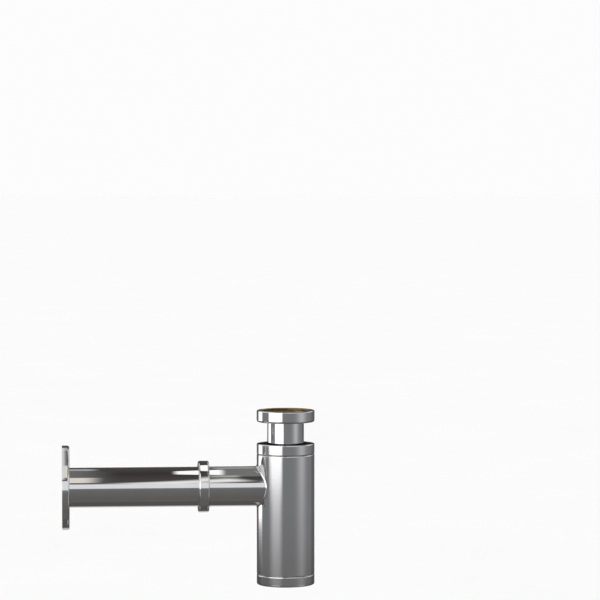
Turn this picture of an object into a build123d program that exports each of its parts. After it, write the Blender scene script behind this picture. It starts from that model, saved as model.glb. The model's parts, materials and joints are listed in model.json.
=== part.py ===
from build123d import *
import os

# A chromed bottle trap: tube from the basin, bottle, branch, pipe and rosette on the wall.
# Millimetres. The origin is the centre of the inlet nut's mouth, +Z is up, the wall is at -X.

# ---- Driving dimensions -------------------------------------------------------------------

TUBE_R = 16.0  # inlet tube, outside
TUBE_WALL = 1.0
BOTTLE_R = 25.25
BOTTLE_WALL = 1.2
PIPE_R = 17.3  # pipe to the wall, outside
BRANCH_R = 17.4  # branch on the bottle, outside
WATERWAY_R = 16.3  # bore of branch and pipe

INLET_NUT_R = 25.3
INLET_NUT_HEIGHT = 10.2
RING_NUT_TOP = -29.0
TOP_SEAM = -38.175  # middle of the gap between ring nut and bottle
BOTTOM_SEAM = -143.325  # middle of the gap between bottle and cap
CAP_BOTTOM = -152.8
TUBE_BOTTOM = -133.0
SEAM_GAP = 0.25
EDGE_ROUND = 0.9  # upper outside edges, which catch the light
EDGE_BREAK = 0.35  # lower outside edges

OUTLET_Z = -66.5
STUB_END = 30.0  # distances along the outlet are from the bottle's axis towards the wall
OUTLET_NUT_START = 67.4
OUTLET_NUT_END = 76.7
OUTLET_NUT_R = 22.45
ROSETTE_FRONT = 188.65
WALL = 195.0
ROSETTE_R = 36.7

# ---- Fits and threads ---------------------------------------------------------------------

SEAT_GAP = 0.05  # between faces that rest on each other but belong to different bodies
RUN_FIT = 0.04  # radial, rubber ring on a tube it slides along
THREAD_FIT = 0.05  # radial, male crest to female bore
UNION_MALE_R = 20.955  # G 1 1/4
UNION_FEMALE_R = 21.05
UNION_PITCH = 2.309
BOTTLE_MALE_R = 23.5
BOTTLE_FEMALE_R = BOTTLE_MALE_R + THREAD_FIT
CAP_PITCH = 1.5
RING_NUT_PITCH = 1.0
THREAD_DEPTH = 0.75
FINE_THREAD_DEPTH = 0.55
TUBE_HOLE_R = TUBE_R + 0.35  # hole in a nut's web, round the tube
PIPE_HOLE_R = PIPE_R + 0.35

# ---- Heights of the stack inside the inlet nut --------------------------------------------

INLET_THREAD_END = -4.0
INLET_WASHER_TOP = -4.2
INLET_FLANGE_TOP = -6.2
INLET_FLANGE_BOTTOM = -7.4
INLET_RING_TOP = INLET_FLANGE_BOTTOM - SEAT_GAP
INLET_WEB_TOP = -8.4
INLET_RING_BOTTOM = INLET_WEB_TOP + SEAT_GAP
INLET_FLANGE_R = 19.4
INLET_RELIEF_R = 21.5

# ---- Heights of the stack inside the ring nut ---------------------------------------------

RING_NUT_BOTTOM = TOP_SEAM + SEAM_GAP / 2
BODY_TOP = TOP_SEAM - SEAM_GAP / 2
RING_WEB_TOP = -32.4
RING_WEB_BOTTOM = -33.4
TOP_WASHER_TOP = RING_WEB_BOTTOM - SEAT_GAP
TOP_WASHER_THICK = 0.7
SEAL_TOP = TOP_WASHER_TOP - TOP_WASHER_THICK - SEAT_GAP
SEAL_RIM_THICK = 0.8
SEAL_RIM_R = 22.0
SEAL_CONE_TOP_R = 20.4
SEAL_CONE_BOTTOM_R = 17.3
SEAL_CONE_HEIGHT = 3.6
NECK_TOP = SEAL_TOP - SEAL_RIM_THICK - SEAT_GAP
NECK_BORE_R = 17.4
NECK_WEB_BOTTOM = -39.5
SKIRT_LENGTH = 6.0  # part of a ferrule that is brazed inside the bottle
SKIRT_WALL = 1.6

# ---- Heights of the stack inside the cap --------------------------------------------------

BODY_BOTTOM = BOTTOM_SEAM + SEAM_GAP / 2
CAP_TOP = BOTTOM_SEAM - SEAM_GAP / 2
CAP_FLOOR_TOP = CAP_BOTTOM + 1.6
FERRULE_BOTTOM = -149.0
GASKET_TOP = FERRULE_BOTTOM - SEAT_GAP
GASKET_BOTTOM = CAP_FLOOR_TOP + SEAT_GAP
FERRULE_BORE_R = 21.6

# ---- Distances of the stack inside the outlet nut -----------------------------------------

BRANCH_THREAD_START = 67.8
BRANCH_END = 72.25
OUTLET_GASKET_THICK = 1.5
PIPE_START = BRANCH_END + OUTLET_GASKET_THICK + SEAT_GAP
PIPE_FLANGE_THICK = 1.0
PIPE_FLANGE_R = 20.4
OUTLET_WEB_START = 75.5
OUTLET_WASHER_END = OUTLET_WEB_START - SEAT_GAP
OUTLET_WASHER_START = PIPE_START + PIPE_FLANGE_THICK + SEAT_GAP

# ---- Rosette ------------------------------------------------------------------------------

ROSETTE_SHEET = 1.0
ROSETTE_HUB_R = 20.5
ROSETTE_HUB_BORE_R = 19.6
ROSETTE_HUB_END = 193.5
GRIP_START = 189.8
GRIP_END = 193.3

# ---- Places and helpers -------------------------------------------------------------------

# Looks from the bottle's axis to the wall, so an offset is a distance towards the wall.
OUTLET = Plane(origin=(0, 0, OUTLET_Z), x_dir=(0, 1, 0), z_dir=(-1, 0, 0))
BOTTLE_SECTION = Plane.XZ
OUTLET_SECTION = Plane(origin=(0, 0, OUTLET_Z), x_dir=(0, 1, 0), z_dir=(0, 0, 1))
os.makedirs("parts", exist_ok=True)


def level(height):
    """The horizontal plane at a height."""
    return Plane.XY.offset(height)


def disc(plane, radius, length, mode=Mode.ADD):
    """A solid cylinder from the plane, along its normal."""
    with BuildSketch(plane) as outline:
        Circle(radius)
    extrude(outline.sketch, amount=length, mode=mode)


def rim_edges(part, radius, axis=Axis.Z):
    """The circular edges of this radius, sorted along the axis."""
    rims = part.edges().filter_by(GeomType.CIRCLE)
    return rims.filter_by(lambda edge: abs(edge.radius - radius) < 0.01).sort_by(axis)


def cut_thread_rings(section, crest_r, pitch, depth, start, end):
    """V grooves round a male thread. The section's X is radial and its Y runs along the axis."""
    with BuildSketch(section) as grooves:
        for turn in range(int((end - start) / pitch)):
            middle = start + (turn + 0.5) * pitch
            with BuildLine():
                Polyline(
                    (crest_r + 0.2, middle - 0.4 * pitch),
                    (crest_r - depth, middle),
                    (crest_r + 0.2, middle + 0.4 * pitch),
                    close=True,
                )
            make_face()
    axis = Axis(section.origin, section.y_dir)
    revolve(grooves.sketch, axis=axis, mode=Mode.SUBTRACT)


def save(built, name):
    """Label the part and write it under its own name."""
    built.part.label = name
    export_step(built.part, f"parts/{name}.step")


# ---- Inlet: tube, washer, slip ring and union nut -----------------------------------------

with BuildPart() as inlet_tube:
    disc(level(TUBE_BOTTOM), TUBE_R, INLET_FLANGE_TOP - TUBE_BOTTOM)
    disc(level(INLET_FLANGE_BOTTOM), INLET_FLANGE_R, INLET_FLANGE_TOP - INLET_FLANGE_BOTTOM)
    fillet(rim_edges(inlet_tube, TUBE_R)[-1], 0.4)
    disc(level(TUBE_BOTTOM), TUBE_R - TUBE_WALL, INLET_FLANGE_TOP - TUBE_BOTTOM, Mode.SUBTRACT)
    fillet(rim_edges(inlet_tube, TUBE_R - TUBE_WALL)[-1], 0.6)
    chamfer(rim_edges(inlet_tube, TUBE_R)[0], 0.3)
save(inlet_tube, "inlet_tube")

with BuildPart() as inlet_flat_washer:
    disc(level(INLET_FLANGE_TOP), INLET_FLANGE_R, INLET_WASHER_TOP - INLET_FLANGE_TOP)
    disc(level(INLET_FLANGE_TOP), 15.8, INLET_WASHER_TOP - INLET_FLANGE_TOP, Mode.SUBTRACT)
save(inlet_flat_washer, "inlet_flat_washer")

with BuildPart() as inlet_slip_ring:
    disc(level(INLET_RING_BOTTOM), INLET_FLANGE_R, INLET_RING_TOP - INLET_RING_BOTTOM)
    disc(level(INLET_RING_BOTTOM), TUBE_R + 0.5, 2.0, Mode.SUBTRACT)
save(inlet_slip_ring, "inlet_slip_ring")

with BuildPart() as inlet_union_nut:
    disc(level(-INLET_NUT_HEIGHT), INLET_NUT_R, INLET_NUT_HEIGHT)
    fillet(rim_edges(inlet_union_nut, INLET_NUT_R)[0], 1.6)
    fillet(rim_edges(inlet_union_nut, INLET_NUT_R)[-1], EDGE_ROUND)
    disc(level(INLET_THREAD_END), UNION_FEMALE_R, -INLET_THREAD_END, Mode.SUBTRACT)
    disc(level(INLET_WEB_TOP), INLET_RELIEF_R, INLET_THREAD_END - INLET_WEB_TOP, Mode.SUBTRACT)
    disc(level(-INLET_NUT_HEIGHT), TUBE_HOLE_R, INLET_NUT_HEIGHT, Mode.SUBTRACT)
    fillet(rim_edges(inlet_union_nut, TUBE_HOLE_R)[0], 0.4)
save(inlet_union_nut, "inlet_union_nut")

# ---- Joint between tube and bottle: ring nut, slip washer and cone seal -------------------

with BuildPart() as top_ring_nut:
    disc(level(RING_NUT_BOTTOM), BOTTLE_R, RING_NUT_TOP - RING_NUT_BOTTOM)
    disc(level(RING_WEB_TOP), 24.0, RING_NUT_TOP - RING_WEB_TOP, Mode.SUBTRACT)
    disc(level(RING_NUT_BOTTOM), BOTTLE_FEMALE_R, RING_WEB_BOTTOM - RING_NUT_BOTTOM, Mode.SUBTRACT)
    disc(level(RING_WEB_BOTTOM), TUBE_HOLE_R + 0.3, 2.0, Mode.SUBTRACT)
    fillet(rim_edges(top_ring_nut, BOTTLE_R)[-1], EDGE_ROUND)
    fillet(rim_edges(top_ring_nut, BOTTLE_R)[0], EDGE_BREAK)
    fillet(rim_edges(top_ring_nut, 24.0)[-1], 0.3)
save(top_ring_nut, "top_ring_nut")

with BuildPart() as top_slip_washer:
    disc(level(TOP_WASHER_TOP - TOP_WASHER_THICK), 23.2, TOP_WASHER_THICK)
    disc(level(TOP_WASHER_TOP - TOP_WASHER_THICK), TUBE_HOLE_R + 0.1, TOP_WASHER_THICK, Mode.SUBTRACT)
save(top_slip_washer, "top_slip_washer")

with BuildPart() as top_cone_seal:
    disc(level(SEAL_TOP - SEAL_RIM_THICK), SEAL_RIM_R, SEAL_RIM_THICK)
    with BuildSketch(level(SEAL_TOP - SEAL_RIM_THICK)):
        Circle(SEAL_CONE_TOP_R)
    with BuildSketch(level(SEAL_TOP - SEAL_RIM_THICK - SEAL_CONE_HEIGHT)):
        Circle(SEAL_CONE_BOTTOM_R)
    loft()
    disc(level(SEAL_TOP - 10.0), TUBE_R + RUN_FIT, 10.0, Mode.SUBTRACT)
save(top_cone_seal, "top_cone_seal")

# ---- Bottle: body with its stub, ferrules, branch -----------------------------------------

with BuildPart() as top_thread_ferrule:
    disc(level(BODY_TOP), BOTTLE_MALE_R, NECK_TOP - BODY_TOP)
    disc(level(BODY_TOP - SKIRT_LENGTH), BOTTLE_R - BOTTLE_WALL, SKIRT_LENGTH)
    disc(level(BODY_TOP - SKIRT_LENGTH), NECK_BORE_R, 20.0, Mode.SUBTRACT)
    skirt_depth = NECK_WEB_BOTTOM - BODY_TOP + SKIRT_LENGTH
    skirt_bore_r = BOTTLE_R - BOTTLE_WALL - SKIRT_WALL
    disc(level(BODY_TOP - SKIRT_LENGTH), skirt_bore_r, skirt_depth, Mode.SUBTRACT)
    # seat for the cone seal, wider than the cone by the seat gap
    with BuildSketch(level(NECK_TOP)):
        Circle(SEAL_CONE_TOP_R + 2 * SEAT_GAP)
    with BuildSketch(level(NECK_TOP - SEAL_CONE_HEIGHT)):
        Circle(SEAL_CONE_BOTTOM_R + 2 * SEAT_GAP)
    loft(mode=Mode.SUBTRACT)
    chamfer(rim_edges(top_thread_ferrule, BOTTLE_MALE_R)[-1], 0.4)
    cut_thread_rings(
        BOTTLE_SECTION, BOTTLE_MALE_R, RING_NUT_PITCH, FINE_THREAD_DEPTH, BODY_TOP, NECK_TOP - 0.4
    )
save(top_thread_ferrule, "top_thread_ferrule")

with BuildPart() as bottle_body:
    disc(level(BODY_BOTTOM), BOTTLE_R, BODY_TOP - BODY_BOTTOM)
    disc(OUTLET, BRANCH_R, STUB_END)
    stub_join = bottle_body.edges().filter_by(GeomType.CIRCLE, reverse=True)
    stub_join = stub_join.filter_by(GeomType.LINE, reverse=True)
    fillet(stub_join, 1.8)
    fillet(rim_edges(bottle_body, BOTTLE_R)[-1], EDGE_ROUND)
    fillet(rim_edges(bottle_body, BOTTLE_R)[0], EDGE_BREAK)
    disc(level(BODY_BOTTOM), BOTTLE_R - BOTTLE_WALL, BODY_TOP - BODY_BOTTOM, Mode.SUBTRACT)
    disc(OUTLET, WATERWAY_R, STUB_END, Mode.SUBTRACT)
save(bottle_body, "bottle_body")

with BuildPart() as bottom_thread_ferrule:
    disc(level(FERRULE_BOTTOM), BOTTLE_MALE_R, BODY_BOTTOM - FERRULE_BOTTOM)
    disc(level(BODY_BOTTOM), BOTTLE_R - BOTTLE_WALL, SKIRT_LENGTH)
    disc(level(FERRULE_BOTTOM), FERRULE_BORE_R, 20.0, Mode.SUBTRACT)
    chamfer(rim_edges(bottom_thread_ferrule, BOTTLE_MALE_R)[0], 0.4)
    thread_low = FERRULE_BOTTOM + 0.4
    cut_thread_rings(
        BOTTLE_SECTION, BOTTLE_MALE_R, CAP_PITCH, THREAD_DEPTH, thread_low, BODY_BOTTOM
    )
save(bottom_thread_ferrule, "bottom_thread_ferrule")

with BuildPart() as outlet_branch:
    disc(OUTLET.offset(STUB_END), BRANCH_R, BRANCH_END - STUB_END)
    disc(OUTLET.offset(STUB_END), WATERWAY_R, BRANCH_END - STUB_END, Mode.SUBTRACT)
save(outlet_branch, "outlet_branch")

with BuildPart() as branch_thread_ferrule:
    disc(OUTLET.offset(BRANCH_THREAD_START), UNION_MALE_R, BRANCH_END - BRANCH_THREAD_START)
    disc(OUTLET.offset(BRANCH_THREAD_START), BRANCH_R, BRANCH_END, Mode.SUBTRACT)
    chamfer(rim_edges(branch_thread_ferrule, UNION_MALE_R, Axis.X)[0], 0.4)
    thread_start = BRANCH_THREAD_START - 0.4
    cut_thread_rings(
        OUTLET_SECTION, UNION_MALE_R, UNION_PITCH, THREAD_DEPTH, thread_start, BRANCH_END - 0.1
    )
save(branch_thread_ferrule, "branch_thread_ferrule")

with BuildPart() as outlet_flat_gasket:
    disc(OUTLET.offset(BRANCH_END), PIPE_FLANGE_R, OUTLET_GASKET_THICK)
    disc(OUTLET.offset(BRANCH_END), WATERWAY_R + 0.2, OUTLET_GASKET_THICK, Mode.SUBTRACT)
save(outlet_flat_gasket, "outlet_flat_gasket")

# ---- Cleaning cap -------------------------------------------------------------------------

with BuildPart() as cap_gasket:
    disc(level(GASKET_BOTTOM), BOTTLE_FEMALE_R - 0.3, GASKET_TOP - GASKET_BOTTOM)
    disc(level(GASKET_BOTTOM), 18.5, GASKET_TOP - GASKET_BOTTOM, Mode.SUBTRACT)
save(cap_gasket, "cap_gasket")

with BuildPart() as bottom_cap:
    disc(level(CAP_BOTTOM), BOTTLE_R, CAP_TOP - CAP_BOTTOM)
    disc(level(CAP_FLOOR_TOP), BOTTLE_FEMALE_R, CAP_TOP - CAP_FLOOR_TOP, Mode.SUBTRACT)
    fillet(rim_edges(bottom_cap, BOTTLE_R)[0], 1.7)
    fillet(rim_edges(bottom_cap, BOTTLE_R)[-1], EDGE_ROUND)
save(bottom_cap, "bottom_cap")

# ---- Outlet union: slip washer, nut and wall pipe -----------------------------------------

with BuildPart() as outlet_slip_washer:
    washer_thick = OUTLET_WASHER_END - OUTLET_WASHER_START
    disc(OUTLET.offset(OUTLET_WASHER_START), PIPE_FLANGE_R, washer_thick)
    disc(OUTLET.offset(OUTLET_WASHER_START), PIPE_R + 0.6, washer_thick, Mode.SUBTRACT)
save(outlet_slip_washer, "outlet_slip_washer")

with BuildPart() as outlet_nut:
    nut_length = OUTLET_NUT_END - OUTLET_NUT_START
    disc(OUTLET.offset(OUTLET_NUT_START), OUTLET_NUT_R, nut_length)
    fillet(rim_edges(outlet_nut, OUTLET_NUT_R), 1.5)
    bore_length = OUTLET_WEB_START - OUTLET_NUT_START
    disc(OUTLET.offset(OUTLET_NUT_START), UNION_FEMALE_R, bore_length, Mode.SUBTRACT)
    disc(OUTLET.offset(OUTLET_NUT_START), PIPE_HOLE_R, nut_length, Mode.SUBTRACT)
    fillet(rim_edges(outlet_nut, PIPE_HOLE_R, Axis.X)[0], 0.3)
save(outlet_nut, "outlet_nut")

with BuildPart() as wall_pipe:
    disc(OUTLET.offset(PIPE_START), PIPE_R, WALL - PIPE_START)
    disc(OUTLET.offset(PIPE_START), PIPE_FLANGE_R, PIPE_FLANGE_THICK)
    fillet(rim_edges(wall_pipe, PIPE_R, Axis.X)[-1], 0.4)
    disc(OUTLET.offset(PIPE_START), WATERWAY_R, WALL - PIPE_START, Mode.SUBTRACT)
save(wall_pipe, "wall_pipe")

# ---- Rosette and the rubber ring that grips the pipe --------------------------------------

with BuildPart() as wall_rosette:
    disc(OUTLET.offset(ROSETTE_FRONT), ROSETTE_R, WALL - ROSETTE_FRONT)
    fillet(rim_edges(wall_rosette, ROSETTE_R, Axis.X)[-1], 1.8)
    inside_start = ROSETTE_FRONT + ROSETTE_SHEET
    disc(OUTLET.offset(inside_start), ROSETTE_R - ROSETTE_SHEET, WALL - inside_start, Mode.SUBTRACT)
    fillet(rim_edges(wall_rosette, ROSETTE_R - ROSETTE_SHEET, Axis.X)[-1], 0.8)
    disc(OUTLET.offset(inside_start), ROSETTE_HUB_R, ROSETTE_HUB_END - inside_start)
    disc(OUTLET.offset(inside_start), ROSETTE_HUB_BORE_R, WALL - inside_start, Mode.SUBTRACT)
    disc(OUTLET.offset(ROSETTE_FRONT), PIPE_HOLE_R, WALL - ROSETTE_FRONT, Mode.SUBTRACT)
    fillet(rim_edges(wall_rosette, PIPE_HOLE_R, Axis.X)[-1], 0.3)
save(wall_rosette, "wall_rosette")

with BuildPart() as rosette_grip_ring:
    disc(OUTLET.offset(GRIP_START), ROSETTE_HUB_BORE_R - THREAD_FIT, GRIP_END - GRIP_START)
    disc(OUTLET.offset(GRIP_START), PIPE_R + RUN_FIT, GRIP_END - GRIP_START, Mode.SUBTRACT)
save(rosette_grip_ring, "rosette_grip_ring")
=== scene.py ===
import json
import math

import bmesh
import bpy
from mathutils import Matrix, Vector


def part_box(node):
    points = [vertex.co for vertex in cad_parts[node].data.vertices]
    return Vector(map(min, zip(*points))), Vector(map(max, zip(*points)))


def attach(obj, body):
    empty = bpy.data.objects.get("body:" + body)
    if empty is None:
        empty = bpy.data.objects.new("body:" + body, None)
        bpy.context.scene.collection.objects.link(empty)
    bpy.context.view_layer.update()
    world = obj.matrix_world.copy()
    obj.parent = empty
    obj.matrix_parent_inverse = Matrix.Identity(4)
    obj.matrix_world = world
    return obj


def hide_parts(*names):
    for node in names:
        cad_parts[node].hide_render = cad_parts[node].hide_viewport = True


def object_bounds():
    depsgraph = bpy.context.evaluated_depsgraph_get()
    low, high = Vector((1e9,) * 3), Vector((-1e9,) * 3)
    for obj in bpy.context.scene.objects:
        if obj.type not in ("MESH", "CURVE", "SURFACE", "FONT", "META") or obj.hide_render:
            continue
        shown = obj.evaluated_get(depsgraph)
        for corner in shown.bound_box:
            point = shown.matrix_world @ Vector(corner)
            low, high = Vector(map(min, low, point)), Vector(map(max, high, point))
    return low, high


# A chromed bottle trap hanging in a plain pale studio. +Z is up and the wall is at -X.
# The turned pieces are worked out in millimetres and written in metres.

MM = 0.001
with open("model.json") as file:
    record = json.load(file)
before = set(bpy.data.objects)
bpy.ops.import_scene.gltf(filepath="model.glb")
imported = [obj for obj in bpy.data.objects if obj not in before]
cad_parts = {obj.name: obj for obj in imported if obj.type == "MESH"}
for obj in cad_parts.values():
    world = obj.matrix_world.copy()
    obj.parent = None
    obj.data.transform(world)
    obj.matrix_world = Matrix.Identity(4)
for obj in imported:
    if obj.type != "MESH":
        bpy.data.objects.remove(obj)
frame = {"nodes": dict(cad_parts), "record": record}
cad_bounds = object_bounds()

# ---- Sizes that the frame's boxes don't give, in millimetres --------------------------------

TUBE_RADIUS = 16.0
PIPE_RADIUS = 17.3
TUBE_WALL = 1.0
WATERWAY = 16.3  # bore of branch and pipe
HOLE_GAP = 0.35  # round a tube, in a nut's web
EDGE_ROUND = 0.9  # upper outside edges
EDGE_BREAK = 0.35  # lower outside edges
GAP_RELIEF = 0.15  # how far a nut's rim stays back from its box, so that the seam reads dark

UNION_BORE = 21.05  # crest of the female G 1 1/4 thread
UNION_CREST = 20.955  # crest of the male thread
UNION_PITCH = 2.309
BOTTLE_BORE = 23.55
BOTTLE_CREST = 23.5
CAP_PITCH = 1.5
RING_NUT_PITCH = 1.0
THREAD_DEPTH = 0.75
FINE_THREAD_DEPTH = 0.55
MOUTH = 0.4  # chamfer at a thread's start

TURNS = 180  # columns round a turned piece
ARC_STEPS = 7  # faces round a fillet
SUPPORT = 0.15  # how close an extra loop lies to a corner, so that the flats shade true
SHARP = math.radians(32)


def span(node):
    """A node on the bottle's axis: outside radius, lowest and highest point."""
    low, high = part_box(node)
    return high.x / MM, low.z / MM, high.z / MM


def reach(node):
    """A node on the outlet's axis: outside radius, start and end from the bottle's axis."""
    low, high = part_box(node)
    return high.y / MM, -high.x / MM, -low.x / MM


OUTLET_HEIGHT = (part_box("wall_pipe")[0].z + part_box("wall_pipe")[1].z) / 2

# ---- Node helpers ---------------------------------------------------------------------------


def node_tree(material):
    """The material's tree and its Principled shader."""
    material.use_nodes = True
    tree = material.node_tree
    return tree, tree.nodes["Principled BSDF"]


def add(tree, kind, **settings):
    """A new node with these settings."""
    node = tree.nodes.new(kind)
    for key, value in settings.items():
        setattr(node, key, value)
    return node


def feed(tree, socket, value):
    """Gives an input a number, a colour or another node's result."""
    if isinstance(value, bpy.types.NodeSocket):
        tree.links.new(value, socket)
    elif isinstance(value, tuple) and socket.type == "RGBA":
        socket.default_value = (*value, 1.0)
    else:
        socket.default_value = value


def maths(tree, operation, *values):
    """A Math node's result; each value is a number or a socket."""
    node = add(tree, "ShaderNodeMath", operation=operation)
    for place, value in enumerate(values):
        feed(tree, node.inputs[place], value)
    return node.outputs[0]


def product(tree, first, *others):
    """Several values multiplied."""
    for other in others:
        first = maths(tree, "MULTIPLY", first, other)
    return first


def scaled(tree, value, low, high, to_low=0.0, to_high=1.0, kind="LINEAR"):
    """The value's range low to high moved to another range and clamped there."""
    node = add(tree, "ShaderNodeMapRange", interpolation_type=kind)
    feed(tree, node.inputs["Value"], value)
    node.inputs["From Min"].default_value = low
    node.inputs["From Max"].default_value = high
    node.inputs["To Min"].default_value = to_low
    node.inputs["To Max"].default_value = to_high
    return node.outputs["Result"]


def step(tree, value, middle, feather):
    """0 below the middle, 1 above it, soft over the feather on either side."""
    return scaled(tree, value, middle - feather, middle + feather, kind="SMOOTHSTEP")


def between(tree, value, low, high, low_feather, high_feather):
    """1 between low and high with soft edges."""
    above = step(tree, value, high, high_feather)
    return maths(tree, "SUBTRACT", step(tree, value, low, low_feather), above)


def bell(tree, value, middle, width):
    """A soft peak, 1 in the middle."""
    off = maths(tree, "DIVIDE", maths(tree, "SUBTRACT", value, middle), width)
    return maths(tree, "EXPONENT", maths(tree, "MULTIPLY", product(tree, off, off), -1.0))


def mixed(tree, factor, first, second):
    """A colour between two."""
    node = add(tree, "ShaderNodeMix", data_type="RGBA")
    feed(tree, node.inputs["Factor"], factor)
    for name, value in (("A", first), ("B", second)):
        feed(tree, next(s for s in node.inputs if s.name == name and s.type == "RGBA"), value)
    return next(s for s in node.outputs if s.type == "RGBA")


def noise(tree, scale, detail):
    """A noise value from 0 to 1 in object space."""
    place = add(tree, "ShaderNodeTexCoord")
    texture = add(tree, "ShaderNodeTexNoise")
    texture.inputs["Scale"].default_value = scale
    texture.inputs["Detail"].default_value = detail
    tree.links.new(place.outputs["Object"], texture.inputs["Vector"])
    return scaled(tree, texture.outputs["Fac"], 0.3, 0.7)


def bump(tree, height, strength, depth, shader):
    """Feeds a height of this depth, in millimetres, into the shader's normal."""
    node = add(tree, "ShaderNodeBump")
    node.inputs["Strength"].default_value = strength
    node.inputs["Distance"].default_value = depth * MM
    tree.links.new(height, node.inputs["Height"])
    tree.links.new(node.outputs["Normal"], shader.inputs["Normal"])


# ---- Materials ------------------------------------------------------------------------------


def chrome(name, tint, smooth, rough, grain, grains_per_metre):
    """Chrome plate: clear metal, faint haze in patches and the fine grain of its polish."""
    material = bpy.data.materials.new(name)
    tree, shader = node_tree(material)
    shader.inputs["Metallic"].default_value = 1.0
    haze = noise(tree, 45.0, 5.0)
    darker = tuple(channel * 0.95 for channel in tint)
    tree.links.new(mixed(tree, haze, tint, darker), shader.inputs["Base Color"])
    polish = noise(tree, grains_per_metre, 2.0)
    both = maths(tree, "MULTIPLY_ADD", polish, 0.4, maths(tree, "MULTIPLY", haze, 0.6))
    tree.links.new(scaled(tree, both, 0, 1, smooth, rough), shader.inputs["Roughness"])
    bump(tree, polish, grain, 0.01, shader)
    return material


def worn_metal(name, bright, dull, smooth, rough):
    """Turned metal with dull patches and fine tool marks."""
    material = bpy.data.materials.new(name)
    tree, shader = node_tree(material)
    shader.inputs["Metallic"].default_value = 1.0
    patches = noise(tree, 140.0, 6.0)
    tree.links.new(mixed(tree, patches, bright, dull), shader.inputs["Base Color"])
    tree.links.new(scaled(tree, patches, 0, 1, smooth, rough), shader.inputs["Roughness"])
    bump(tree, noise(tree, 2500.0, 2.0), 0.2, 0.02, shader)
    return material


def moulded(name, light, dark, smooth, rough, grain, depth):
    """A moulded material: clouds of two tones and a fine moulded grain."""
    material = bpy.data.materials.new(name)
    tree, shader = node_tree(material)
    clouds = noise(tree, 220.0, 6.0)
    tree.links.new(mixed(tree, clouds, light, dark), shader.inputs["Base Color"])
    tree.links.new(scaled(tree, clouds, 0, 1, smooth, rough), shader.inputs["Roughness"])
    bump(tree, noise(tree, grain, 3.0), 0.3, depth, shader)
    return material


BARE_BRASS = worn_metal("bare_brass", (0.62, 0.43, 0.20), (0.34, 0.23, 0.11), 0.30, 0.50)
# Painted shade: dark grey metal that stands in for the shade down in the ring nut's recess.
PAINTED_SHADE_RECESS = worn_metal("painted_shade_recess", (0.14, 0.136, 0.13), (0.07, 0.068, 0.065), 0.35, 0.55)
MATERIALS = {
    "chrome_polished": chrome("polished_chrome", (0.80, 0.80, 0.81), 0.03, 0.07, 0.03, 1500),
    "chrome_satin": chrome("body_chrome", (0.79, 0.79, 0.80), 0.04, 0.06, 0.13, 950),
    "brass": worn_metal("plated_brass", (0.60, 0.58, 0.54), (0.46, 0.41, 0.33), 0.22, 0.38),
    "rubber": moulded("black_rubber", (0.04, 0.04, 0.041), (0.016, 0.016, 0.017), 0.55, 0.8, 4000, 0.03),
    "nylon": moulded("white_nylon", (0.80, 0.79, 0.74), (0.70, 0.68, 0.62), 0.35, 0.5, 1500, 0.03),
}
SLOT_OF = {part["node"]: part["material_slot"] for part in frame["record"]["subparts"]}
BODY_OF = {
    node: body for body, nodes in frame["record"]["behaviour"]["bodies"].items() for node in nodes
}

# ---- Turned pieces --------------------------------------------------------------------------


def upright(radius, along, angle):
    """A point round the bottle's axis."""
    return Vector((radius * math.cos(angle), radius * math.sin(angle), along)) * MM


def sideways(radius, along, angle):
    """A point round the outlet's axis; along is towards the wall."""
    point = Vector((-along, radius * math.cos(angle), -radius * math.sin(angle))) * MM
    return point + Vector((0, 0, OUTLET_HEIGHT))


def fillet_points(before, corner, after, fillet):
    """Points round a corner of a section, on an arc that touches both of its sides."""
    corner = Vector(corner)
    back = (Vector(before) - corner).normalized()
    ahead = (Vector(after) - corner).normalized()
    half = back.angle(ahead) / 2
    centre = corner + (back + ahead).normalized() * fillet / math.sin(half)
    start = corner + back * fillet / math.tan(half) - centre
    end = corner + ahead * fillet / math.tan(half) - centre
    sweep = start.angle(end)
    points = []
    for number in range(ARC_STEPS + 1):
        share = number / ARC_STEPS
        blend = start * math.sin((1 - share) * sweep) + end * math.sin(share * sweep)
        points.append(centre + blend / math.sin(sweep))
    return points


def outline(*corners):
    """A stretch of a section from its corners (radius, along, fillet).

    The first and last corner have no fillet. Extra points lie near the ends of each flat.
    """
    rounded = []
    for number, (radius, along, fillet) in enumerate(corners):
        if fillet:
            before, after = corners[number - 1][:2], corners[number + 1][:2]
            rounded += fillet_points(before, (radius, along), after, fillet)
        else:
            rounded.append(Vector((radius, along)))
    points = []
    for first, second in zip(rounded, rounded[1:]):
        points.append(first)
        if (second - first).length > 3 * SUPPORT:
            way = (second - first).normalized() * SUPPORT
            points += [first + way, second - way]
    points.append(rounded[-1])
    return [tuple(point) for point in points]


def thread(start, end, pitch, crest, root, angle):
    """A right-hand thread's points at this angle; its depth fades out at both ends."""
    points = []
    for turn in range(math.ceil((end - start) / pitch) + 1):
        for share, radius in ((0.0, crest), (0.2, crest), (0.55, root), (0.65, root)):
            along = start + (turn - 1 + share + angle / (2 * math.pi)) * pitch
            along = min(max(along, start), end)
            fade = min(1.0, (along - start) / pitch, (end - along) / pitch)
            points.append((crest + (radius - crest) * fade, along))
    return points


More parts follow.
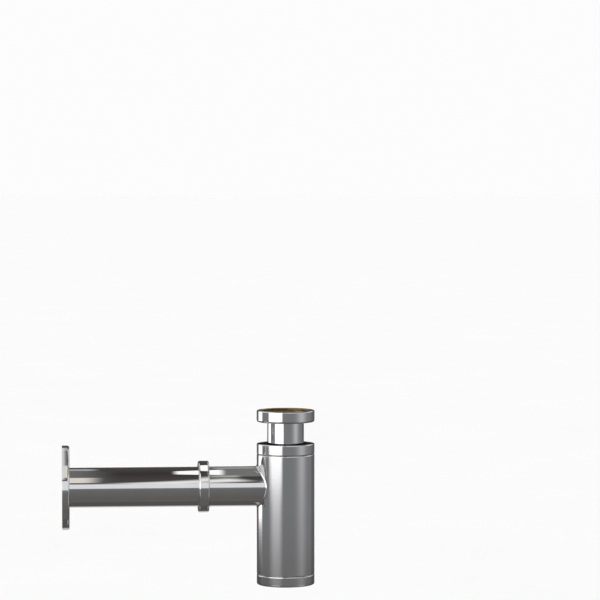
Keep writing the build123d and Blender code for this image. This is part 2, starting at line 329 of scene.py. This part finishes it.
def turned(node, place, section, closed=True, bare_or_painted_shade=None, inside_look=BARE_BRASS):
    """Turns a section about its axis and puts the piece in the CAD node's place.

    The section is a list of points or a function of the angle. A face has the inside look where
    the given test of radius and along says so: unplated metal, except on the ring nut, where it is a
    painted shade.
    """
    mesh = bpy.data.meshes.new(node + "_detailed")
    shape = bmesh.new()
    columns = []
    for number in range(TURNS + 1):
        angle = 2 * math.pi * number / TURNS
        points = section(angle) if callable(section) else section
        columns.append([(shape.verts.new(place(*point, angle)), point) for point in points])
    for left, right in zip(columns, columns[1:]):
        rows = list(zip(left, right))
        if closed:
            rows.append(rows[0])
        for (a, b), (c, d) in zip(rows, rows[1:]):
            face = shape.faces.new((a[0], b[0], d[0], c[0]))
            middle = [(a[1][axis] + c[1][axis]) / 2 for axis in (0, 1)]
            face.material_index = 1 if bare_or_painted_shade and bare_or_painted_shade(*middle) else 0
    bmesh.ops.remove_doubles(shape, verts=shape.verts, dist=1e-7)
    bmesh.ops.recalc_face_normals(shape, faces=shape.faces)
    shape.to_mesh(mesh)
    shape.free()
    mesh.shade_smooth()
    mesh.set_sharp_from_angle(angle=SHARP)
    mesh.materials.append(MATERIALS[SLOT_OF[node]])
    if bare_or_painted_shade:
        mesh.materials.append(inside_look)
    piece = bpy.data.objects.new(node + "_detailed", mesh)
    bpy.context.scene.collection.objects.link(piece)
    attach(piece, BODY_OF[node])
    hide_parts(node)


def ring(node, place, size, bore, fillet):
    """A plain ring with rounded edges, such as a washer."""
    radius, start, end = size
    middle = (start + end) / 2
    corners = ((bore, start), (radius, start), (radius, end), (bore, end))
    rounded = ((*corner, fillet) for corner in corners)
    turned(node, place, outline((bore, middle, 0), *rounded, (bore, middle, 0))[:-1])


def inlet_nut():
    """Union nut under the basin: thread in its mouth, relief, web round the tube."""
    radius, low, high = span("inlet_union_nut")
    web, thread_end = low + 1.8, high - 4.0
    hole, root = TUBE_RADIUS + HOLE_GAP, UNION_BORE + THREAD_DEPTH
    skin = outline(
        (hole, low + 1.0, 0),
        (hole, low, 0.4),
        (radius, low, 1.6),
        (radius, high, EDGE_ROUND),
        (UNION_BORE + MOUTH, high, 0.1),
        (UNION_BORE, high - MOUTH, 0),
    )
    inside = outline(
        (root, thread_end, 0),
        (root, web, 0.3),
        (hole, web, 0.2),
        (hole, low + 1.2, 0),
    )

    def section(angle):
        rows = thread(thread_end, high - MOUTH, UNION_PITCH, UNION_BORE, root, angle)
        return skin + rows[::-1] + inside

    def bare_or_painted_shade(r, along):
        return hole + 0.1 < r < root + 0.05 and web - 0.05 < along < high - MOUTH / 2

    turned("inlet_union_nut", upright, section, bare_or_painted_shade=bare_or_painted_shade)


def inlet_tube():
    """Tube with the flange that hangs in the nut, its washer and its slip ring."""
    flange, end, top = span("inlet_tube")
    flange_low, bore = top - 1.2, TUBE_RADIUS - TUBE_WALL
    section = outline(
        (bore, top - 1.0, 0),
        (bore, top, 0.6),
        (flange, top, 0.25),
        (flange, flange_low, 0.25),
        (TUBE_RADIUS, flange_low, 0.4),
        (TUBE_RADIUS, end, 0.3),
        (bore, end, 0.2),
        (bore, end + 1.0, 0),
    )
    turned("inlet_tube", upright, section, bare_or_painted_shade=lambda r, along: r < bore + 0.05)
    ring("inlet_flat_washer", upright, span("inlet_flat_washer"), 15.8, 0.2)
    ring("inlet_slip_ring", upright, span("inlet_slip_ring"), TUBE_RADIUS + 0.5, 0.15)


def ring_nut():
    """Ring nut on the bottle: open recess round the tube above its web, thread below it. Its recess and
    inner faces carry a painted shade.
    """
    radius, low, high = span("top_ring_nut")
    web_top, web_low, recess = high - 3.4, high - 4.4, 24.0
    hole, root = TUBE_RADIUS + HOLE_GAP + 0.3, BOTTLE_BORE + FINE_THREAD_DEPTH
    thread_end = web_low - 0.8
    skin = outline(
        (hole, web_low + 0.4, 0),
        (hole, web_top, 0.25),
        (recess, web_top, 0.3),
        (recess, high, 0.25),
        (radius, high, EDGE_ROUND),
        (radius, low + GAP_RELIEF, EDGE_BREAK),
        (radius - 1.0, low + GAP_RELIEF, 0.1),
        (radius - 1.0, low, 0.1),
        (BOTTLE_BORE + MOUTH, low, 0.1),
        (BOTTLE_BORE, low + MOUTH, 0),
    )
    inside = outline(
        (BOTTLE_BORE, thread_end + 0.1, 0),
        (BOTTLE_BORE, web_low, 0.2),
        (hole, web_low, 0.2),
        (hole, web_low + 0.3, 0),
    )

    def section(angle):
        rows = thread(low + MOUTH, thread_end, RING_NUT_PITCH, BOTTLE_BORE, root, angle)
        return skin + rows + inside

    # Painted shade: the faces from the recess down through the hole and the thread get the dark grey
    # metal.
    def bare_or_painted_shade(r, along):
        return r < root + 0.05 and low + MOUTH / 2 < along < high - 0.4

    turned("top_ring_nut", upright, section, bare_or_painted_shade=bare_or_painted_shade, inside_look=PAINTED_SHADE_RECESS)
    ring("top_slip_washer", upright, span("top_slip_washer"), TUBE_RADIUS + 0.45, 0.12)


def cone_seal():
    """Rubber seal with a rim under the ring nut and a cone round the tube."""
    rim, cone_low, top = span("top_cone_seal")
    bore, rim_low = TUBE_RADIUS + 0.04, top - 0.8
    section = outline(
        (bore, top - 1.0, 0),
        (bore, top, 0.2),
        (rim, top, 0.25),
        (rim, rim_low, 0.25),
        (20.4, rim_low, 0.1),
        (17.3, cone_low, 0.3),
        (bore, cone_low, 0.2),
        (bore, cone_low + 1.0, 0),
    )
    turned("top_cone_seal", upright, section)


def top_ferrule():
    """Male thread in the bottle's top, with the seat for the cone seal."""
    _, low, high = span("top_thread_ferrule")
    radius, _, bottle_top = span("bottle_body")
    skirt, skirt_bore, neck, seat = radius - 1.2, radius - 2.8, 17.4, 20.5
    web = bottle_top - 1.2
    foot = outline(
        (neck, high - 3.6, 0),
        (neck, web, 0.2),
        (skirt_bore, web, 0.3),
        (skirt_bore, low, 0.2),
        (skirt, low, 0.2),
        (skirt, bottle_top, 0),
        (BOTTLE_CREST, bottle_top, 0),
    )
    mouth = outline(
        (BOTTLE_CREST, high - MOUTH, 0),
        (BOTTLE_CREST - MOUTH, high, 0.1),
        (seat, high, 0.1),
        (neck + 0.1, high - 3.5, 0),
    )

    def section(angle):
        root = BOTTLE_CREST - FINE_THREAD_DEPTH
        rows = thread(bottle_top, high - MOUTH, RING_NUT_PITCH, BOTTLE_CREST, root, angle)
        return foot + rows + mouth

    turned("top_thread_ferrule", upright, section)


def cap():
    """Cleaning cap with its thread and its gasket."""
    radius, low, high = span("bottom_cap")
    floor, root = low + 1.6, BOTTLE_BORE + THREAD_DEPTH
    skin = outline(
        (0, low, 0),
        (radius, low, 1.7),
        (radius, high - GAP_RELIEF, EDGE_ROUND),
        (radius - 1.1, high - GAP_RELIEF, 0.05),
        (radius - 1.1, high, 0.1),
        (BOTTLE_BORE + MOUTH, high, 0.1),
        (BOTTLE_BORE, high - MOUTH, 0),
    )
    inside = outline((BOTTLE_BORE, floor + 1.7, 0), (BOTTLE_BORE, floor, 0.2), (0, floor, 0))

    def section(angle):
        rows = thread(floor + 1.8, high - MOUTH, CAP_PITCH, BOTTLE_BORE, root, angle)
        return skin + rows[::-1] + inside

    def bare_or_painted_shade(r, along):
        return r < root + 0.05 and floor - 0.05 < along < high - MOUTH / 2

    turned("bottom_cap", upright, section, closed=False, bare_or_painted_shade=bare_or_painted_shade)
    ring("cap_gasket", upright, span("cap_gasket"), 18.5, 0.3)


def bottom_ferrule():
    """Male thread in the bottle's bottom."""
    skirt, low, high = span("bottom_thread_ferrule")
    body_low, bore = span("bottle_body")[1], 21.6
    skin = outline(
        (BOTTLE_CREST, body_low, 0),
        (skirt, body_low, 0),
        (skirt, high, 0.2),
        (bore, high, 0.3),
        (bore, low, 0.2),
        (BOTTLE_CREST - MOUTH, low, 0.1),
        (BOTTLE_CREST, low + MOUTH, 0),
    )

    def section(angle):
        root = BOTTLE_CREST - THREAD_DEPTH
        return skin + thread(low + MOUTH, body_low, CAP_PITCH, BOTTLE_CREST, root, angle)

    turned("bottom_thread_ferrule", upright, section)


def branch():
    """Branch tube on the bottle's stub, the male thread on its end and its gasket."""
    radius, start, end = reach("outlet_branch")
    section = outline(
        (WATERWAY, start + 1.0, 0),
        (WATERWAY, start, 0),
        (radius, start, 0),
        (radius, end, 0.15),
        (WATERWAY, end, 0.15),
        (WATERWAY, end - 1.0, 0),
    )
    turned("outlet_branch", sideways, section, bare_or_painted_shade=lambda r, along: r < WATERWAY + 0.05)

    _, low, high = reach("branch_thread_ferrule")
    skin = outline(
        (UNION_CREST, high - MOUTH, 0),
        (UNION_CREST - MOUTH, high, 0.1),
        (radius, high, 0.1),
        (radius, low, 0.1),
        (UNION_CREST - MOUTH, low, 0.1),
        (UNION_CREST, low + MOUTH, 0),
    )

    def male(angle):
        root = UNION_CREST - THREAD_DEPTH
        return skin + thread(low + MOUTH, high - MOUTH, UNION_PITCH, UNION_CREST, root, angle)

    turned("branch_thread_ferrule", sideways, male)
    ring("outlet_flat_gasket", sideways, reach("outlet_flat_gasket"), WATERWAY + 0.2, 0.25)


def outlet_nut():
    """Union nut that draws the pipe's flange onto the branch, and its slip washer."""
    radius, low, high = reach("outlet_nut")
    web, hole, root = high - 1.2, PIPE_RADIUS + HOLE_GAP, UNION_BORE + THREAD_DEPTH
    thread_end = web - 2.4
    skin = outline(
        (hole, high - 0.6, 0),
        (hole, high, 0.3),
        (radius, high, 1.5),
        (radius, low, 1.5),
        (UNION_BORE + MOUTH, low, 0.1),
        (UNION_BORE, low + MOUTH, 0),
    )
    inside = outline(
        (UNION_BORE, thread_end + 0.1, 0),
        (UNION_BORE, web, 0.2),
        (hole, web, 0.2),
        (hole, high - 0.8, 0),
    )

    def section(angle):
        rows = thread(low + MOUTH, thread_end, UNION_PITCH, UNION_BORE, root, angle)
        return skin + rows + inside

    def bare_or_painted_shade(r, along):
        return hole + 0.1 < r < root + 0.05 and low + MOUTH / 2 < along < web + 0.05

    turned("outlet_nut", sideways, section, bare_or_painted_shade=bare_or_painted_shade, inside_look=MATERIALS["brass"])
    ring("outlet_slip_washer", sideways, reach("outlet_slip_washer"), PIPE_RADIUS + 0.6, 0.12)


def wall_pipe():
    """Flanged pipe from the union to the wall."""
    flange, start, end = reach("wall_pipe")
    flange_end = start + 1.0
    section = outline(
        (WATERWAY, start + 1.0, 0),
        (WATERWAY, start, 0.3),
        (flange, start, 0.2),
        (flange, flange_end, 0.2),
        (PIPE_RADIUS, flange_end, 0.4),
        (PIPE_RADIUS, end, 0.2),
        (WATERWAY, end, 0.2),
        (WATERWAY, end - 1.0, 0),
    )
    turned("wall_pipe", sideways, section, bare_or_painted_shade=lambda r, along: r < WATERWAY + 0.05)


def rosette():
    """Pressed rosette with its rolled edge and hub, and the rubber ring that grips the pipe."""
    radius, front, wall = reach("wall_rosette")
    back, inner, hole = front + 1.0, radius - 1.0, PIPE_RADIUS + HOLE_GAP
    hub, hub_bore, hub_end = 20.5, 19.6, wall - 1.5
    section = outline(
        (hole, front + 0.5, 0),
        (hole, front, 0.3),
        (radius, front, 1.8),
        (radius, wall, 0.15),
        (inner, wall, 0.15),
        (inner, back, 0.8),
        (hub, back, 0.3),
        (hub, hub_end, 0.2),
        (hub_bore, hub_end, 0.2),
        (hub_bore, back, 0.1),
        (hole, back, 0.1),
        (hole, back - 0.2, 0),
    )

    def bare_or_painted_shade(r, along):
        return along > back - 0.05 and r < inner + 0.05

    turned("wall_rosette", sideways, section, bare_or_painted_shade=bare_or_painted_shade)
    ring("rosette_grip_ring", sideways, reach("rosette_grip_ring"), PIPE_RADIUS + 0.04, 0.3)


for make in (inlet_nut, inlet_tube, ring_nut, cone_seal, top_ferrule, cap, bottom_ferrule):
    make()
for make in (branch, outlet_nut, wall_pipe, rosette):
    make()

body_mesh = frame["nodes"]["bottle_body"].data
body_mesh.materials.clear()
body_mesh.materials.append(MATERIALS[SLOT_OF["bottle_body"]])

# ---- Floor ----------------------------------------------------------------------------------


FLOOR_RADIUS = 60.0  # in metres
FLOOR_DROP = 0.3  # from the trap's lowest point, in metres


def studio_floor():
    """A plain pale floor well below the trap; mirrors show the room instead."""
    mesh = bpy.data.meshes.new("studio_floor")
    shape = bmesh.new()
    bmesh.ops.create_circle(shape, cap_ends=True, segments=96, radius=FLOOR_RADIUS)
    shape.to_mesh(mesh)
    shape.free()
    floor = bpy.data.objects.new("studio_floor", mesh)
    floor.location.z = cad_bounds[0].z - FLOOR_DROP
    floor.visible_glossy = False
    bpy.context.scene.collection.objects.link(floor)
    paper = bpy.data.materials.new("pale_paper")
    tree, shader = node_tree(paper)
    shader.inputs["Roughness"].default_value = 0.9
    shader.inputs["Specular IOR Level"].default_value = 0.0
    grain = mixed(tree, noise(tree, 3.0, 4.0), (0.905, 0.905, 0.905), (0.915, 0.915, 0.915))
    tree.links.new(grain, shader.inputs["Base Color"])
    mesh.materials.append(paper)


# ---- Studio light ---------------------------------------------------------------------------

PALE = (0.975, 0.975, 0.975)
CARD_LEVEL = 50.0  # height of the cards over the inlet nut's mouth, in millimetres
LOWER_LEVEL = CARD_LEVEL - 2.0  # seen from below, a lower card covers a higher one
UPPER_LEVEL = CARD_LEVEL + 2.0
SUN_ENERGY = 1.88
SUN_SPREAD = math.radians(120)


def panel(tree, colour, bearing, height, brightness):
    """A lit panel over the colour behind it; bearing and height are its shares there."""
    return mixed(tree, product(tree, bearing, height), colour, (brightness,) * 3)


def directions(tree):
    """Height above the horizon and bearing of the direction looked in, both in degrees.

    Bearing 0 is at the front, -Y, and it grows towards +X.
    """
    place = add(tree, "ShaderNodeTexCoord")
    parts = add(tree, "ShaderNodeSeparateXYZ")
    tree.links.new(place.outputs["Generated"], parts.inputs["Vector"])
    east, north, up = parts.outputs["X"], parts.outputs["Y"], parts.outputs["Z"]
    degrees = 180 / math.pi
    height = maths(tree, "MULTIPLY", maths(tree, "ARCSINE", up), degrees)
    south = maths(tree, "MULTIPLY", north, -1.0)
    bearing = maths(tree, "MULTIPLY", maths(tree, "ARCTAN2", east, south), degrees)
    return height, bearing


def room(tree, height, away):
    """Grey ground, a dark ceiling and, except at the back, a bright band of windows."""
    deep = mixed(tree, scaled(tree, height, -60, -12), (0.135, 0.13, 0.125), (0.165, 0.163, 0.16))
    ground = mixed(tree, scaled(tree, height, -8.2, -6.6), deep, (0.216, 0.219, 0.226))
    below_step = scaled(tree, height, -8.2, -7.6, 0.25, 0.0)
    ground = mixed(tree, product(tree, step(tree, away, 75, 12), below_step), ground, (0, 0, 0))
    dim = product(tree, step(tree, away, 121, 11), scaled(tree, height, -60, -20), 0.4)
    ground = mixed(tree, dim, ground, (0, 0, 0))
    ceiling = mixed(tree, scaled(tree, height, 40, 90), (0.078, 0.071, 0.064), (0.045, 0.042, 0.04))
    colour = mixed(tree, step(tree, height, -2.0, 0.7), ground, ceiling)

    ahead = scaled(tree, away, 100, 140, 1.0, 0.0, "SMOOTHSTEP")
    windows = product(tree, between(tree, height, -1.2, 24.0, 0.7, 1.5), ahead)
    return mixed(tree, windows, colour, (0.86, 0.87, 0.90))


def left_softbox(tree, colour, height, bearing):
    """Large softbox on the left; its lower end is softer, with a haze below it."""
    rise = maths(tree, "POWER", scaled(tree, height, -9.2, -6.2), 2.0)
    haze = product(tree, rise, scaled(tree, height, 55, 65, 1.0, 0.0))
    colour = panel(tree, colour, between(tree, bearing, -63, -23.5, 15, 12.5), haze, 0.76)
    foot = between(tree, height, -6.1, -5, 0.1, 0.3)
    colour = panel(tree, colour, between(tree, bearing, -68, -20, 12, 7), foot, 1.3)
    face = between(tree, height, -5.45, 60, 0.15, 5)
    return panel(tree, colour, between(tree, bearing, -75, -18, 1.5, 1.5), face, 1.7)


def back_left_softbox(tree, colour, height, bearing):
    """Smaller, low softbox behind the large one, with a haze below it."""
    across = between(tree, bearing, -141, -112, 2, 2)
    top = scaled(tree, height, 1, 5, 1.0, 0.0)
    rise = maths(tree, "POWER", scaled(tree, height, -7.9, -6.8), 2.0)
    colour = panel(tree, colour, across, product(tree, rise, top), 0.5)
    face = product(tree, step(tree, height, -6.79, 0.12), top)
    return panel(tree, colour, across, face, 1.6)


def right_light(tree, colour, height, peak):
    """Soft light on the right, brightest at the bearing of the peak."""
    lit = product(tree, scaled(tree, height, -9, -4.8), scaled(tree, height, 55, 65, 1.0, 0.0))
    return panel(tree, colour, peak, lit, 0.53)


def low_softboxes(tree, colour, height, bearing, away, peak):
    """Softboxes below the horizon, for the views from above and from the back."""
    front = between(tree, height, -34, -9.2, 4, 1.2)
    colour = panel(tree, colour, between(tree, bearing, -62, -28, 7, 7), front, 0.65)
    colour = panel(tree, colour, peak, front, 0.45)
    behind = between(tree, height, -42, -12.5, 6, 1.5)
    return panel(tree, colour, step(tree, away, 165, 4), behind, 0.6)


def back_softboxes(tree, colour, height, away):
    """Softboxes on either side of the back, one pair high and one pair low."""
    sides = between(tree, away, 110, 158, 6, 4)
    colour = panel(tree, colour, sides, between(tree, height, 14, 55, 3, 8), 0.8)
    return panel(tree, colour, sides, between(tree, height, -78, -52, 5, 6), 0.45)


def studio():
    """The surroundings that the chrome shows. The camera itself sees a plain pale one."""
    world = bpy.data.worlds.new("studio")
    bpy.context.scene.world = world
    world.use_nodes = True
    tree = world.node_tree
    tree.nodes.clear()
    height, bearing = directions(tree)
    away = maths(tree, "ABSOLUTE", bearing)
    right_peak = bell(tree, bearing, 63, 20)

    colour = room(tree, height, away)
    colour = left_softbox(tree, colour, height, bearing)
    colour = back_left_softbox(tree, colour, height, bearing)
    colour = right_light(tree, colour, height, right_peak)
    colour = low_softboxes(tree, colour, height, bearing, away, right_peak)
    colour = back_softboxes(tree, colour, height, away)

    seen = add(tree, "ShaderNodeLightPath")
    colour = mixed(tree, seen.outputs["Is Camera Ray"], colour, PALE)
    background = add(tree, "ShaderNodeBackground")
    tree.links.new(colour, background.inputs["Color"])
    output = add(tree, "ShaderNodeOutputWorld")
    tree.links.new(background.outputs["Background"], output.inputs["Surface"])


def card(name, corners, fade, colour, level=CARD_LEVEL):
    """A glowing level sheet over the trap that only mirrors see.

    The corners are (x, y) in millimetres: south-west, south-east, north-east, north-west.
    The fade is the share of the width and of the depth over which each edge softens.
    """
    mesh = bpy.data.meshes.new(name)
    shape = bmesh.new()
    face = shape.faces.new([shape.verts.new(Vector((*at, level)) * MM) for at in corners])
    across = shape.loops.layers.uv.new("across")
    for loop, share in zip(face.loops, ((0, 0), (1, 0), (1, 1), (0, 1))):
        loop[across].uv = share
    shape.to_mesh(mesh)
    shape.free()
    sheet = bpy.data.objects.new(name, mesh)
    sheet.visible_camera = False
    sheet.visible_diffuse = False
    sheet.visible_shadow = False
    bpy.context.scene.collection.objects.link(sheet)

    material = bpy.data.materials.new(name)
    material.use_nodes = True
    tree = material.node_tree
    tree.nodes.clear()
    place = add(tree, "ShaderNodeUVMap", uv_map="across")
    parts = add(tree, "ShaderNodeSeparateXYZ")
    tree.links.new(place.outputs["UV"], parts.inputs["Vector"])
    shares = [
        between(tree, parts.outputs[axis], soft / 2, 1 - soft / 2, soft / 2, soft / 2)
        for axis, soft in zip("XY", fade)
    ]
    glow = add(tree, "ShaderNodeEmission")
    glow.inputs["Color"].default_value = (*colour, 1.0)
    clear = add(tree, "ShaderNodeBsdfTransparent")
    blend = add(tree, "ShaderNodeMixShader")
    tree.links.new(product(tree, *shares), blend.inputs["Fac"])
    tree.links.new(clear.outputs["BSDF"], blend.inputs[1])
    tree.links.new(glow.outputs["Emission"], blend.inputs[2])
    output = add(tree, "ShaderNodeOutputMaterial")
    tree.links.new(blend.outputs["Shader"], output.inputs["Surface"])
    mesh.materials.append(material)


def level_card(name, west, east, south, north, fade, colour, level=CARD_LEVEL):
    """A card with its sides along X and Y."""
    corners = ((west, south), (east, south), (east, north), (west, north))
    card(name, corners, fade, colour, level)


def overhead_light():
    """Wide soft light from straight above, even over the whole floor; mirrors don't show it."""
    lamp = bpy.data.lights.new("overhead_softbox", "SUN")
    lamp.energy = SUN_ENERGY
    lamp.angle = SUN_SPREAD
    holder = bpy.data.objects.new("overhead_softbox", lamp)
    holder.visible_glossy = False
    bpy.context.scene.collection.objects.link(holder)


studio_floor()
studio()
overhead_light()
white = ((-97, -26), (-46, -46), (-46, 52), (-97, 24))
card("white_card", white, (0.16, 0.07), (1.25, 1.25, 1.22))
front = ((-180, -224), (-54, -329), (0, -190), (-38, -55))
card("front_card", front, (0.42, 0.14), (0.98, 0.96, 0.92))
level_card("cream_card", -220, -155, -200, -62, (0.34, 0.07), (0.86, 0.80, 0.72))
level_card("wall_card", -220, -158, 38, 125, (0.23, 0.15), (0.42, 0.42, 0.42))
level_card("soft_card", -66, -30, -82, -42, (0.25, 0.25), (0.44, 0.43, 0.40))
level_card("wall_light", -260, -190.5, -240, 110, (0.06, 0.04), (0.82, 0.82, 0.81), LOWER_LEVEL)
level_card("dim_wall_card", -236, -140, -200, 38, (0.50, 0.02), (0.17, 0.168, 0.165), UPPER_LEVEL)
level_card("shade_card", -56, 80, -70, 72, (0.05, 0.05), (0.20, 0.20, 0.20), UPPER_LEVEL)
level_card("right_card", -12, 150, -260, -76, (0.10, 0.08), (0.80, 0.79, 0.77), UPPER_LEVEL)
level_card("back_card", -62, -10, 70, 185, (0.20, 0.10), (0.40, 0.40, 0.40))

# ---- Camera ---------------------------------------------------------------------------------


def camera():
    """A long lens in front of the trap, a little above it and to its left."""
    lens = bpy.data.cameras.new("camera")
    lens.lens = 180.0
    lens.sensor_width = 36.0
    holder = bpy.data.objects.new("camera", lens)
    holder.location = (-0.19895, -2.6072, 0.21345)
    turn, tilt = math.radians(4.6395), math.radians(2.5665)
    level = Vector((math.sin(turn), math.cos(turn), 0))
    look = level * math.cos(tilt) - Vector((0, 0, math.sin(tilt)))
    holder.rotation_mode = "QUATERNION"
    holder.rotation_quaternion = look.to_track_quat("-Z", "Y")
    bpy.context.scene.collection.objects.link(holder)
    bpy.context.scene.camera = holder


camera()
bpy.context.scene.view_settings.view_transform = "Standard"
